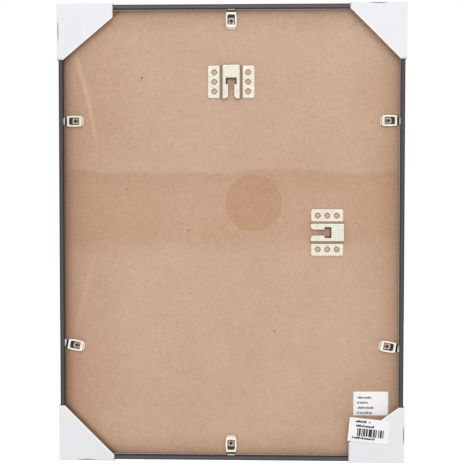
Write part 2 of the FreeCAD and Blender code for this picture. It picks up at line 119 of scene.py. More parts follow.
WINDOW_R = 0.8 * MM
TONGUE_W = 5.0 * MM
TONGUE_HEAD = 2.8 * MM
TONGUE_ROOT = 3.2 * MM
TONGUE_RUN = 0.9 * MM
TONGUE_R = 1.2 * MM
PIVOT_HOLE_R = 1.55 * MM
SHEET_BEND = 0.3 * MM
SHEET_EDGE_R = 0.1 * MM
# Reach of the painted shadow on the board round each clip's pivot
CLIP_SHADOW_R = 6.0 * MM

# Hanger plate, with its slot opening down
HANGER_T = 0.8 * MM
HANGER_TURNS_DEG = {"hanger_portrait": 0, "hanger_landscape": 90}
HANGER_GRID = 0.6 * MM
HANGER_W = 41.8 * MM
FLANGE_H = 28.7 * MM
FLANGE_R = 1.8 * MM
STRAP_W = 15.4 * MM
STRAP_H = 29.8 * MM
STRAP_R = 0.35 * MM
STRAP_TOP = 3.0 * MM
JOGGLE_RUN = 2.6 * MM
SLOT_DROP = 11.5 * MM
SLOT_HEAD_W = 9.9 * MM
SLOT_HEAD_H = 5.9 * MM
SLOT_NECK_W = 5.6 * MM
SLOT_MOUTH_R = 2.8 * MM
TOOTH_H = 0.7 * MM
TOOTH_PITCH = 1.9 * MM
TOOTH_COUNT = 5
HOLE_COLUMNS = 30.4 * MM
HOLE_PITCH = 8.5 * MM
HOLE_ROWS = 3
HOLE_STEPS = 28
HOLE_POWER = 2.7
PRONG_DEPTH = 1.9 * MM
PRONG_IN = 1.5 * MM
PRONG_OUT = 1.95 * MM
DIMPLE_OUT = 2.5 * MM

# Card corner protectors, as folded
CARD_T = 0.6 * MM
CARD_LEG = 50.4 * MM
CARD_END = 5.6 * MM
CARD_FIRST_ENDS = {
    "corner_protector_top_left": 12.8 * MM,
    "corner_protector_top_right": 5.6 * MM,
    "corner_protector_bottom_right": 18.2 * MM,
    "corner_protector_bottom_left": 5.6 * MM,
}
CARD_GRID = 3 * MM
# Width of the painted highlight strip along the slanted edge
CARD_HIGHLIGHT_W = 1.0 * MM
FOLD_R = 0.8 * MM
CARD_LIFT = 0.45 * MM
CARD_WAVE = 0.1 * MM
CARD_WAVE_LEN = 22 * MM
LIFT_RUN = 30 * MM
SLIT_START = 16 * MM
SLIT_LEN = 19 * MM
SLIT_BITE = 1.5 * MM
SLIT_DROP = 1.2 * MM
SLIT_STEPS = 12
SLIT_POWER = 0.4
PROTECTOR_TURNS_DEG = {
    "corner_protector_top_left": 0,
    "corner_protector_top_right": 90,
    "corner_protector_bottom_right": 180,
    "corner_protector_bottom_left": 270,
}

# Labels
INFO_SIZE = (31.5 * MM, 22.0 * MM)
PRICE_SIZE = (36.5 * MM, 21.7 * MM)
PRICE_TURN_DEG = 5.8
PAPER_T = 0.12 * MM
PAPER_GRID = 1 * MM
PAPER_CURL = 0.35 * MM
PAPER_CURL_RUN = 7 * MM
PAPER_CURL_LEAST = 0.35

# Rivets
RIVET_BORE_R = 0.9 * MM
RIVET_HEAD_R = 2.1 * MM
RIVET_HEAD_UNDER = 0.8 * MM
RIVET_HEAD_T = 0.5 * MM
RIVET_DEPTH = 2.9 * MM
RIVET_SHANK_R = 1.5 * MM
RIVET_STEPS = 40
RIVET_ROLL_STEPS = 8

# Meshes and painted edges
SOFT = 0.1 * MM
CUT_TOLERANCE = 1e-7
FILL_TOLERANCE = 1e-9
GRID_CLEARANCE = 0.6
ARC_STEPS = 6
CROWN_STEPS = 8
SMOOTH_DEG = 32
PRESSED_SMOOTH_DEG = 40
PRESSED_EDGE_DEG = 60

# Marks and painted shade on the board, from the frame's middle. A tint is the share of each colour left.
BOARD_SHADES = ((197, 163, 137), (201, 168, 143))
STAIN_PLACE = (20.1 * MM, 27.8 * MM)
STAIN_R = 25.6 * MM
STAIN_SOFT = 1 * MM
STAIN_TINT = (0.93, 0.855, 0.765)
BAND_TOP = 57 * MM
BAND_EDGE = 3 * MM
BAND_SAG = 9 * MM
BAND_LAYERS = ((76 * MM, 22 * MM, (0.945, 0.885, 0.845)), (25 * MM, 25 * MM, (0.955, 0.945, 0.94)))
# Two light streaks painted on the board as a reflection: start, end, bend and strength
REFLECTION_STREAKS = ((60 * MM, 161 * MM, 1.7, 0.34), (-4 * MM, -90 * MM, 1.0, 0.16))
STREAK_FOOT = 121 * MM
STREAK_REACH = 20 * MM
STREAK_W = 2.4 * MM
STREAK_SOFT = 1.1 * MM
STREAK_FLARE = 1.2
SPOTS = ((-80.5 * MM, 140 * MM), (-38.8 * MM, 2.9 * MM), (-94.5 * MM, 40 * MM), (39 * MM, -88 * MM))
SPOT_R = 1.05 * MM
# Painted shadow round the info label, and painted shade towards the board's sides, foot, rim and upper
# part
LABEL_SHADE_R = 45 * MM
LABEL_SHADE_SOFT = 32 * MM
LABEL_TINT = (0.92, 0.89, 0.87)
VIGNETTE_RUN = 24 * MM
VIGNETTE_TINT = (0.89, 0.86, 0.85)
LEFT_SHADE_RUN = 80 * MM
LEFT_TINT = (0.9, 0.84, 0.8)
RIGHT_SHADE_RUN = 60 * MM
RIGHT_TINT = (0.94, 0.91, 0.88)
LOW_SHADE_RUN = 90 * MM
LOW_TINT = (0.99, 0.98, 0.975)
UPPER_SHADE = (-40 * MM, 100 * MM, 110 * MM, 170 * MM)
UPPER_TINT = (0.97, 0.965, 0.95)
RIM_SHADE_RUN = 9 * MM
RIM_SHADE_TINT = (0.76, 0.71, 0.68)
# Painted shadow lines on the board beside the protectors' slanted edges
CARD_SHADE = 5 * MM
CARD_SHADE_TINT = (0.6, 0.52, 0.5)
CARD_SHADOW_AT = -1.4 * MM
CARD_SHADOW_W = 2.2 * MM
CARD_SHADOW_TINT = (0.64, 0.57, 0.55)
# Painted shade on the board under the hangers' straps
STRAP_SHADE_TINT = (0.84, 0.8, 0.84)

# The bars' section, as depths in from their outer faces and from their rear faces, with
# each bar's direction, its foil's colour and the colour of its raw board. These colours differ
# from bar to bar as painted light and shade on one foil and one board.
# Depths where a painted highlight stripe rises and falls on each bar's rear face, and what is left of the
# foil's colour in the painted shade beside it
SHEEN_STRIPE = (0.8 * MM, 1.9 * MM, 2.4 * MM, 3.6 * MM)
OFF_SHEEN_TINT = (0.62, 0.6, 0.6)
ARRIS = 0.5 * MM
BAR_WALL = 1.6 * MM
LIP_EDGE = 4.2 * MM
REBATE_MIDDLE = 7.0 * MM
REBATE_HALF = 3.55 * MM
BAR_W = 9.8 * MM
BAR_SHADED_TONES = {
    "frame_bar_top": ("x", (94, 90, 93), (208, 188, 174)),
    "frame_bar_bottom": ("x", (86, 83, 87), (196, 176, 164)),
    "frame_bar_left": ("z", (78, 74, 75), (142, 122, 110)),
    "frame_bar_right": ("z", (76, 74, 76), (204, 182, 168)),
}


def shade(red, green, blue):
    """A colour given as it shows on a screen, 0 to 255, as the shader's linear value."""
    def linear(level):
        level = level / 255
        return level / 12.92 if level <= 0.04045 else ((level + 0.055) / 1.055) ** 2.4
    return (linear(red), linear(green), linear(blue), 1)


class Nodes:
    """Builds nodes in the tree of a material or of the world."""

    def __init__(self, tree):
        self.tree = tree

    def node(self, kind, inputs=(), **settings):
        """A new node with its settings. Its inputs come as pairs of a socket and a value."""
        made = self.tree.nodes.new(kind)
        for key, value in settings.items():
            setattr(made, key, value)
        for socket, value in inputs:
            self.feed(made.inputs[socket], value)
        return made

    def feed(self, socket, value):
        if isinstance(value, bpy.types.NodeSocket):
            self.tree.links.new(value, socket)
        else:
            socket.default_value = value

    def math(self, operation, first, second=0.0):
        return self.node("ShaderNodeMath", enumerate((first, second)), operation=operation).outputs[0]

    def joined(self, operation, values):
        """Several values taken together in their order."""
        total = values[0]
        for value in values[1:]:
            total = self.math(operation, total, value)
        return total

    def times(self, *values):
        return self.joined("MULTIPLY", values)

    def plus(self, *values):
        return self.joined("ADD", values)

    def larger(self, *values):
        return self.joined("MAXIMUM", values)

    def minus(self, first, second):
        return self.math("SUBTRACT", first, second)

    def size(self, value):
        return self.math("ABSOLUTE", value)

    def length(self, across, up):
        return self.math("SQRT", self.plus(self.times(across, across), self.times(up, up)))

    def step(self, value, start, end, low=0.0, high=1.0):
        """Runs smoothly from low to high while the value runs from start to end."""
        inputs = enumerate((value, start, end, low, high))
        return self.node("ShaderNodeMapRange", inputs, interpolation_type="SMOOTHSTEP").outputs[0]

    def fall(self, value, start, end):
        """Runs smoothly from 1 down to 0 while the value runs from start to end."""
        return self.step(value, start, end, 1.0, 0.0)

    def within(self, value, middle, half, soft=SOFT):
        """1 while the value is within half of the middle, 0 outside, with a soft edge."""
        return self.fall(self.size(self.minus(value, middle)), half - soft, half + soft)


class Paint(Nodes):
    """A material built from nodes that read the piece's own coordinates, in metres."""

    def __init__(self, name, roughness, metallic=0.0):
        self.material = bpy.data.materials.new(name)
        self.material.use_nodes = True
        super().__init__(self.material.node_tree)
        self.shader = self.tree.nodes["Principled BSDF"]
        self.place = self.node("ShaderNodeTexCoord").outputs["Object"]
        self.x, self.y, self.z = self.node("ShaderNodeSeparateXYZ", [(0, self.place)]).outputs
        self.set("Roughness", roughness)
        self.set("Metallic", metallic)

    def set(self, socket, value):
        self.feed(self.shader.inputs[socket], value)

    def offsets(self, place):
        """How far a point lies across from a place and how far up."""
        return self.minus(self.x, place.x), self.minus(self.z, place.z)

    def texture(self, kind, sizes, shift=0.0, **inputs):
        """A texture whose cells have the given sizes along the three axes."""
        scale = [1 / size for size in sizes]
        mapping = [("Vector", self.place), ("Location", [shift] * 3), ("Scale", scale)]
        place = self.node("ShaderNodeMapping", mapping).outputs[0]
        return self.node(kind, [("Vector", place), ("Scale", 1), *inputs.items()]).outputs

    def noise(self, size, detail=2.0, stretch=(1, 1, 1), rough=0.5, shift=0.0):
        """Noise with cells of the given size, drawn out along the stretched axes."""
        sizes = [size * share for share in stretch]
        return self.texture("ShaderNodeTexNoise", sizes, shift, Detail=detail, Roughness=rough)["Fac"]

    def specks(self, size, share):
        """Small round specks: one in each cell of the given size, that share of it across."""
        distance = self.texture("ShaderNodeTexVoronoi", [size] * 3)["Distance"]
        return self.fall(distance, share * 0.5, share)

    def mix(self, share, first, second, blend="MIX"):
        inputs = [("Factor", share), ("A", first), ("B", second)]
        return self.node("ShaderNodeMix", inputs, data_type="RGBA", blend_type=blend).outputs["Result"]

    def darken(self, share, colour, left):
        """The colour cut down to what is left of each part of it, as far as the share says."""
        return self.mix(share, colour, (*left, 1), "MULTIPLY")

    def mark(self, colour, levels, *shares):
        """The colour covered by another as far as the shares say, multiplied together."""
        return self.mix(self.times(*shares), colour, shade(*levels))

    def tint(self, colour, value, spread):
        """The colour made lighter and darker by a value about one half."""
        level = self.plus(self.times(self.minus(value, 0.5), 2 * spread), 1.0)
        base = colour if isinstance(colour, bpy.types.NodeSocket) else colour[:3]
        inputs = [(0, base), ("Scale", level)]
        return self.node("ShaderNodeVectorMath", inputs, operation="SCALE").outputs[0]

    def bump(self, height, depth, round_edges=0.0):
        """Relief of the given depth, over edges rounded in the shading alone."""
        made = self.node("ShaderNodeBump", [("Height", height), ("Distance", depth), ("Strength", 1)])
        if round_edges:
            bevel = self.node("ShaderNodeBevel", [("Radius", round_edges)], samples=4)
            self.feed(made.inputs["Normal"], bevel.outputs[0])
        self.set("Normal", made.outputs[0])


def inward(paint, low, high):
    """How far inside a box's outline a point lies, as the box is seen from behind."""
    half = (high - low) / 2
    across, up = paint.offsets((low + high) / 2)
    return paint.math("MINIMUM", paint.minus(half.x, paint.size(across)),
                      paint.minus(half.z, paint.size(up)))


def box_round(names):
    """The lowest and highest corners of several nodes together."""
    boxes = [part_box(name) for name in names]
    low = Vector([min(box[0][axis] for box in boxes) for axis in range(3)])
    high = Vector([max(box[1][axis] for box in boxes) for axis in range(3)])
    return low, high


def centre_of(node):
    """The middle of a node's box."""
    low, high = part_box(node)
    return (low + high) / 2


hinges = [joint for joint in frame["joints"] if joint["type"] == "hinge"]
frame_low, frame_high = box_round(BAR_SHADED_TONES)
middle = (frame_low + frame_high) / 2


# Materials

def frame_wrap(name, along, tone, raw_tone):
    """Dark grey foil with a fine grain along the bar, over raw fibreboard in the rebate.
    Its two tones are this bar's copy of the foil and board colours, painted lighter or darker
    for the light on that side. A painted highlight stripe runs along the rear face with painted
    shade beside it, and the lip's inner wall and the groove under it are painted dark as shade.
    """
    paint = Paint(name, 0.45)
    grain = paint.noise(0.35 * MM, 3.0, [40 if axis == along else 1 for axis in "xyz"])
    crinkle = paint.noise(0.8 * MM, 3.0, [1 if axis == along else 4 for axis in "xyz"])
    foil = tone
    for value, spread in ((grain, 0.2), (crinkle, 0.24), (paint.noise(14 * MM, 2.0), 0.12)):
        foil = paint.tint(foil, value, spread)
    depth = inward(paint, frame_low, frame_high)
    # Painted highlight: a lighter stripe along the rear face, with painted shade on the rear face beside
    # it
    sheen_stripe = paint.times(paint.step(depth, SHEEN_STRIPE[0], SHEEN_STRIPE[1]), paint.fall(depth, SHEEN_STRIPE[2], SHEEN_STRIPE[3]))
    off_sheen_shade = paint.times(paint.fall(paint.y, 0.2 * MM, 0.6 * MM), paint.minus(1.0, sheen_stripe))
    foil = paint.darken(off_sheen_shade, foil, OFF_SHEEN_TINT)
    worn = paint.times(paint.fall(depth, SOFT, ARRIS), paint.step(paint.noise(2.2 * MM, 4.0), 0.6, 0.72))
    foil = paint.mark(foil, (140, 137, 136), worn, 0.35)
    past_wall = paint.step(depth, BAR_WALL, BAR_WALL + SOFT)
    # Painted shade: the lip's inner wall is painted near black
    throat_shade = paint.times(paint.step(paint.y, 0.3 * MM, 0.6 * MM),
                         paint.fall(depth, LIP_EDGE, LIP_EDGE + 2 * SOFT))
    foil = paint.mark(foil, (46, 38, 36), throat_shade, past_wall)
    raw = paint.tint(raw_tone, paint.noise(0.5 * MM, 4.0), 0.25)
    # Painted shade: the raw board of the groove under the lip is painted dark
    raw = paint.mix(paint.step(depth, 3.5 * MM, 4.0 * MM), shade(60, 50, 46), raw)
    inside = paint.times(past_wall, paint.within(paint.y, REBATE_MIDDLE, REBATE_HALF, SOFT / 2),
                         paint.fall(depth, BAR_W, BAR_W + SOFT))
    paint.set("Base Color", paint.mix(inside, foil, raw))
    shine = paint.step(paint.noise(6 * MM, 3.0), 0.3, 0.7, 0.4, 0.52)
    paint.set("Roughness", paint.plus(shine, paint.times(inside, 0.4)))
    paint.set("Specular IOR Level", 0.3)
    paint.bump(paint.plus(grain, paint.times(crinkle, 1.5)), 0.02 * MM, 0.25 * MM)
    return paint.material


def near(paint, place, radius, soft):
    """1 within the radius of a place on the board, 0 outside it."""
    return paint.fall(paint.length(*paint.offsets(place)), radius - soft, radius)


def turned(turn_deg):
    """A turn about the board's normal."""
    return Matrix.Rotation(math.radians(turn_deg), 4, "Y")


def card_corner(node):
    """Where a protector's outer corner lies, and how it is turned from the top left one."""
    low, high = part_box(node)
    turn_deg = PROTECTOR_TURNS_DEG[node]
    side = low.x if turn_deg in (0, 270) else high.x
    end = high.z if turn_deg in (0, 90) else low.z
    return Vector((side, 0, end)), turned(turn_deg)


def card_distance(paint, node):
    """How far a point lies from a protector's slanted edge, towards the frame's middle."""
    corner, turn = card_corner(node)
    start = corner + turn @ Vector((CARD_LEG, 0, -CARD_FIRST_ENDS[node]))
    end = corner + turn @ Vector((CARD_END, 0, -CARD_LEG))
    outward = (end - start).normalized().cross(Vector((0, 1, 0)))
    across, up = paint.offsets(start)
    return paint.plus(paint.times(across, outward.x), paint.times(up, outward.z))


def under_hanger(paint, colour, node, turn_deg):
    """Painted shade on the board under a hanger's raised strap, painted light inside its holes and a
    darker painted shadow round its slot's head.
    """
    centre = centre_of(node)
    across, up = paint.offsets(centre)
    if turn_deg == 90:
        across, up = up, across
    # Painted shade on the board under the strap
    under = near(paint, centre, STRAP_W / 2, 1.2 * MM)
    colour = paint.darken(under, colour, STRAP_SHADE_TINT)
    for hole_x, hole_z in hanger_holes():
        if turn_deg == 90:
            hole_x, hole_z = hole_z, hole_x
        # Painted light on the board inside each hole
        inside = near(paint, centre + Vector((hole_x, 0, hole_z)), PRONG_OUT, 0.4 * MM)
        colour = paint.mark(colour, (211, 176, 154), inside)
    # Painted shadow round the slot's head
    head_side = paint.step(paint.size(across), SLOT_NECK_W / 2, SLOT_NECK_W / 2 + 1.2 * MM)
    head_top = paint.step(up, 1.2 * MM, STRAP_H / 2 - SLOT_DROP)
    return paint.mark(colour, (92, 70, 60), under, paint.larger(head_side, head_top), 0.75)


def board_grain(paint):
    """The board's own brown with its grain, fibres, flecks and hairs."""
    dark, pale = (shade(*levels) for levels in BOARD_SHADES)
    colour = paint.mix(paint.step(paint.noise(60 * MM, 3.0), 0.3, 0.7), dark, pale)
    grains = (
        (paint.noise(9 * MM, 4.0), 0.04),
        (paint.noise(3.4 * MM, 2.0, rough=0.6), 0.09),
        (paint.noise(1.9 * MM, 2.0, rough=0.55, shift=0.11), 0.16),
        (paint.noise(0.5 * MM, 2.0, (7, 1, 1)), 0.05),
        (paint.noise(0.5 * MM, 2.0, (1, 1, 7), shift=0.37), 0.06),
    )
    for value, spread in grains:
        colour = paint.tint(colour, value, spread)
    fleck = paint.times(paint.specks(19 * MM, 0.05), paint.step(paint.noise(30 * MM), 0.5, 0.6))
    hair = paint.larger(paint.noise(1.0 * MM, 1.0, (1, 1, 4), shift=0.81),
                        paint.noise(1.0 * MM, 1.0, (4, 1, 1), shift=0.53))
    colour = paint.mark(colour, (120, 88, 66), fleck, 0.55)
    colour = paint.mark(colour, (140, 106, 82), paint.step(hair, 0.75, 0.8), 0.6)
    return paint.mark(colour, (138, 106, 84), paint.specks(8 * MM, 0.09), 0.3)


def board_marks(paint, colour, across, up):
    """The darker band, the round stain, two light streaks that are a painted reflection, and a few dark
    spots.
    """
    sag = paint.times(paint.noise(75 * MM, 2.0, shift=0.4), 2 * BAND_SAG)
    level = paint.plus(up, paint.minus(sag, BAND_SAG))
    under_top = paint.fall(level, BAND_TOP - BAND_EDGE, BAND_TOP + BAND_EDGE)
    for reach, run, left in BAND_LAYERS:
        over_foot = paint.step(level, BAND_TOP - reach, BAND_TOP - reach + run)
        colour = paint.darken(paint.times(under_top, over_foot), colour, left)
    away = paint.length(paint.minus(across, STAIN_PLACE[0]), paint.minus(up, STAIN_PLACE[1]))
    away = paint.plus(away, paint.times(paint.noise(7 * MM, 3.0), 1.2 * MM))
    colour = paint.darken(paint.fall(away, STAIN_R, STAIN_R + STAIN_SOFT), colour, STAIN_TINT)
    # Painted reflection: two light streaks
    for start, end, bend, strength in REFLECTION_STREAKS:
        along = paint.math("DIVIDE", paint.minus(up, start), end - start)
        curve = paint.math("POWER", paint.larger(along, 0.0), bend)
        beside = paint.plus(across, paint.times(curve, STREAK_REACH), STREAK_FOOT)
        beside = paint.math("DIVIDE", beside, paint.plus(paint.times(curve, STREAK_FLARE), 1.0))
        reflection_streak = paint.times(paint.within(beside, 0.0, STREAK_W / 2, STREAK_SOFT),
                             paint.step(along, 0.0, 0.5), paint.fall(along, 0.95, 1.05))
        colour = paint.mark(colour, (232, 208, 188), reflection_streak, strength)
    for x, z in SPOTS:
        spot = near(paint, middle + Vector((x, 0, z)), SPOT_R, 0.5 * MM)
        colour = paint.mark(colour, (86, 64, 50), spot, 0.8)
    return colour


def board_shades(paint, colour, across, up):
    """Painted shade: the board darker towards its sides, foot and rim and a little over its upper part,
    and a painted shadow round the info label.
    """
    low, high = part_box("back_board")
    depth = inward(paint, low, high)
    foot = low.z - middle.z
    label_foot = Vector((centre_of("info_label").x, 0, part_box("info_label")[0].z))
    label_shadow = near(paint, label_foot, LABEL_SHADE_R, LABEL_SHADE_SOFT)
    upper = paint.times(paint.step(up, UPPER_SHADE[0], UPPER_SHADE[1]),
                        paint.step(up, UPPER_SHADE[2], UPPER_SHADE[3], 1.0, 0.2))
    # Painted shade close along the rim, stronger on the left
    rim_shade = paint.times(paint.fall(depth, 0.0, RIM_SHADE_RUN),
                        paint.step(across, -120 * MM, -60 * MM, 1.0, 0.4))
    shades = (
        (label_shadow, LABEL_TINT),
        (paint.fall(depth, 0.0, VIGNETTE_RUN), VIGNETTE_TINT),
        (paint.fall(paint.minus(paint.x, low.x), 0.0, LEFT_SHADE_RUN), LEFT_TINT),
        (paint.fall(paint.minus(high.x, paint.x), 0.0, RIGHT_SHADE_RUN), RIGHT_TINT),
        (paint.fall(up, foot, foot + LOW_SHADE_RUN), LOW_TINT),
        (upper, UPPER_TINT),
        (rim_shade, RIM_SHADE_TINT),
    )
    for share, left in shades:
        colour = paint.darken(share, colour, left)
    return colour


def board_painted_shadows(paint, colour):
    """Painted shadows: dark lines on the board beside three protectors' slanted edges, dark painted shade
    round the clips' pivots, and painted shade and light under the hangers.
    """
    # Painted shadow beside the lower left protector's slanted edge
    beside = card_distance(paint, "corner_protector_bottom_left")
    shaded = paint.plus(paint.fall(beside, 0.0, CARD_SHADE), paint.fall(beside, 0.8 * MM, 2.2 * MM))
    shaded = paint.times(shaded, paint.step(beside, -2.5 * MM, -0.5 * MM), 0.5)
    colour = paint.darken(shaded, colour, CARD_SHADE_TINT)
    # Painted shadow: a dark line beside each upper protector's slanted edge
    for node in ("corner_protector_top_left", "corner_protector_top_right"):
        painted_lighting = paint.within(card_distance(paint, node), CARD_SHADOW_AT, CARD_SHADOW_W / 2, 0.5 * MM)
        colour = paint.darken(painted_lighting, colour, CARD_SHADOW_TINT)
    # Painted shadow: the board dark round each clip's pivot, under its window
    for joint in hinges:
        pivot = Vector(joint["pos_m"])
        turn = math.radians(CLIP_TURNS_DEG[joint["child"]])
        across, up = paint.offsets(pivot)
        beside = paint.minus(paint.times(across, math.cos(turn)), paint.times(up, math.sin(turn)))
        colour = paint.mark(colour, (54, 45, 34), near(paint, pivot, CLIP_SHADOW_R, 0.5 * MM),
                            paint.within(beside, 0.0, WINDOW_W / 2 + 0.7 * MM))
    for node, turn_deg in HANGER_TURNS_DEG.items():
        colour = under_hanger(paint, colour, node, turn_deg)
    return colour


def hardboard():
    """Pressed brown fibreboard with its marks, painted shade on its sides, painted shadow lines and a
    painted reflection.
    """
    paint = Paint("hardboard", 0.6)
    across, up = paint.offsets(middle)
    colour = board_marks(paint, board_grain(paint), across, up)
    colour = board_shades(paint, colour, across, up)
    paint.set("Base Color", board_painted_shadows(paint, colour))
    paint.set("Roughness", paint.step(paint.noise(5 * MM, 4.0), 0.3, 0.7, 0.5, 0.68))
    relief = paint.plus(paint.noise(0.3 * MM, 3.0), paint.times(paint.noise(1.4 * MM, 3.0), 1.5))
    paint.bump(relief, 0.025 * MM)
    return paint.material


def plating(name, flat, bent, roughness, finish=None):
    """Nickel plated sheet: its bends and cut edges take a darker colour as painted shade, and its
    sharpest edges a painted highlight.
    """
    paint = Paint(name, roughness, 1.0)
    mottle = paint.noise(2.5 * MM, 4.0)
    surface = paint.node("ShaderNodeNewGeometry").outputs
    facing = paint.node("ShaderNodeSeparateXYZ", [(0, surface["Normal"])]).outputs["Y"]
    # Painted shade: surfaces that don't face straight back or forward take the bends' darker colour
    slope = paint.fall(paint.size(facing), 0.92, 0.99)
    rough = paint.step(mottle, 0.3, 0.7, roughness - 0.06, roughness + 0.08)
    rough = paint.plus(rough, paint.times(slope, 0.15))
    if finish:
        flat, bent, rough = finish(paint, flat, bent, rough)
    tone = paint.tint(flat, mottle, 0.07)
    grime = paint.step(paint.noise(1.1 * MM, 5.0, rough=0.7), 0.56, 0.75)
    tone = paint.mark(tone, (164, 154, 136), grime, 0.35)
    dab = paint.step(paint.noise(1.5 * MM, 1.0, shift=0.6), 0.5, 0.62)
    tone = paint.mark(tone, (196, 194, 184), dab, 0.35)
    # Painted highlight along the sharpest edges
    tone = paint.mark(tone, (252, 250, 244), paint.step(surface["Pointiness"], 0.52, 0.6), 0.8)
    paint.set("Base Color", paint.mix(slope, tone, paint.tint(bent, mottle, 0.2)))
    scratch = paint.noise(0.05 * MM, 2.0, (60, 1, 8))
    paint.set("Roughness", paint.plus(rough, paint.times(scratch, 0.05)))
    paint.bump(paint.plus(paint.noise(0.6 * MM, 3.0), paint.times(scratch, 0.4)), 0.006 * MM)
    return paint.material


def clip_finish(paint, flat, bent, rough):
    """Painted highlight: the tip and the tail lip painted white, the tip without metal. Painted shade:
    the step between plate and tip painted near black, with lighter bends on the tail side. The tongue is
    a greyer mauve.
    """
    tip_start = PLATE_HEAD + STEP_RUN + TIP_SHADE_RUN
    lip_end = TAIL_LIP - PLATE_TAIL
    tip = paint.step(paint.z, tip_start - 0.2 * MM, tip_start)
    # Painted shade on the step between plate and tip
    step_shade = paint.step(paint.z, PLATE_HEAD + 0.2 * MM, PLATE_HEAD + 0.4 * MM)
    # Painted highlight on the tip and the tail lip
    painted_lighting = paint.larger(tip, paint.fall(paint.z, lip_end, lip_end + SOFT))
    bent = paint.mix(paint.step(paint.z, 0.0, WINDOW_HEAD), shade(196, 184, 166), bent)
    flat = paint.mark(flat, (40, 34, 28), step_shade)
    flat = paint.mark(flat, (255, 255, 252), painted_lighting)
    flat = paint.mark(flat, (206, 192, 186), paint.within(paint.x, 0.0, TONGUE_W / 2 + 0.3 * MM),
                      paint.step(paint.y, -1.2 * MM, -1.0 * MM), paint.within(paint.z, 0.0, TONGUE_ROOT))
    paint.set("Metallic", paint.fall(tip, 0.0, 1.0))
    return flat, bent, paint.larger(rough, paint.times(tip, 0.5))


def nail_steel():
    """The plain steel of the V nails."""
    paint = Paint("nail_steel", 0.4, 1.0)
    paint.set("Base Color", paint.tint(shade(150, 150, 152), paint.noise(1 * MM, 4.0), 0.2))
    paint.bump(paint.noise(0.3 * MM, 3.0), 0.01 * MM, 0.05 * MM)
    return paint.material


def white_card():
    """Matt white card: paper fibres, a slight cockle and grey handling marks."""
    paint = Paint("white_card", 0.62)
    tone = paint.tint(shade(233, 233, 237), paint.noise(0.45 * MM, 4.0), 0.025)
    tone = paint.tint(tone, paint.noise(18 * MM, 3.0), 0.02)
    smudge = paint.step(paint.noise(7 * MM, 5.0, rough=0.65, shift=0.2), 0.6, 0.8)
    paint.set("Base Color", paint.mark(tone, (200, 198, 200), smudge, 0.12))
    paint.set("Roughness", paint.step(paint.noise(3 * MM, 3.0), 0.3, 0.7, 0.55, 0.7))
    relief = paint.plus(paint.noise(0.25 * MM, 3.0), paint.times(paint.noise(5 * MM, 2.0), 3.0))
    paint.bump(relief, 0.02 * MM)
    return paint.material


def card_edge():
    """The cut edge of the card, warmer than its coated faces, also used for a painted highlight strip on
    the faces along the slanted edge.
    """
    paint = Paint("card_edge", 0.8)
    paint.set("Base Color", paint.tint(shade(255, 249, 241), paint.noise(0.2 * MM, 3.0, (1, 4, 1)), 0.06))
    paint.bump(paint.noise(0.12 * MM, 3.0), 0.02 * MM)
    return paint.material


def glass():
    """Clear float glass that lets the lamps through to the sheet, with faint dust."""
    paint = Paint("clear_glass", 0.02)
    paint.set("Base Color", (0.99, 0.995, 0.993, 1))
    paint.set("Transmission Weight", 1.0)
    paint.set("IOR", 1.5)
    paint.set("Roughness", paint.step(paint.noise(0.8 * MM, 6.0, rough=0.7), 0.6, 0.9, 0.02, 0.09))
    clear = paint.node("ShaderNodeBsdfTransparent", [("Color", (0.985, 0.99, 0.988, 1))]).outputs[0]
    rays = paint.node("ShaderNodeLightPath").outputs
    through = paint.larger(rays["Is Shadow Ray"], rays["Is Diffuse Ray"])
    blend = paint.node("ShaderNodeMixShader", enumerate((through, paint.shader.outputs[0], clear)))
    paint.feed(paint.tree.nodes["Material Output"].inputs["Surface"], blend.outputs[0])
    return paint.material


def plain_paper():
    """The blank insert sheet."""
    paint = Paint("insert_paper", 0.75)
    tone = paint.tint(shade(238, 237, 237), paint.noise(0.5 * MM, 4.0), 0.02)
    paint.set("Base Color", paint.tint(tone, paint.noise(40 * MM, 3.0), 0.015))
    paint.bump(paint.noise(0.3 * MM, 3.0), 0.01 * MM)
    return paint.material


def rows_of_marks(paint, top, pitch, count, height, left, right, seed, letter=1.05 * MM):
    """Rows of small uneven ticks that stand in for print and spell nothing."""
    total = 0.0
    for row in range(count):
        up = top - row * pitch
        end = right - ((row * 7 + seed) % 3) * 0.12 * (right - left)
        line = paint.times(paint.within(paint.z, up, height / 2),
                           paint.within(paint.x, (left + end) / 2, (end - left) / 2))
        word = paint.step(paint.noise(3.4 * MM, 0.0, (1, 1000, 1000), shift=row + seed), 0.34, 0.36)
        tick = paint.step(paint.noise(letter, 1.0, (1, 1000, 1000), shift=row * 2 + seed), 0.4, 0.44)
        short = paint.step(paint.noise(letter, 0.0, (1.4, 1000, 1000), shift=row * 3 + seed), 0.48, 0.5)
        over = paint.step(paint.z, up + height / 8, up + height / 6)
        tick = paint.times(tick, paint.minus(1.0, paint.times(short, over)))
        total = paint.larger(total, paint.times(line, word, tick))
    return total


def bars_of_marks(paint, middle_x, middle_z, width, height):
    """A block of plain upright bars of uneven width that stands for no number."""
    area = paint.times(paint.within(paint.x, middle_x, width / 2, SOFT / 2),
                       paint.within(paint.z, middle_z, height / 2, SOFT / 2))
    waves = paint.math("SINE", paint.times(paint.x, 2 * math.pi / (2.1 * MM)))
    for length, weight in ((1.27 * MM, 0.8), (4.9 * MM, 0.5)):
        wave = paint.math("SINE", paint.times(paint.x, 2 * math.pi / length))
        waves = paint.plus(waves, paint.times(wave, weight))
    return paint.times(area, paint.step(waves, -0.5, -0.4))


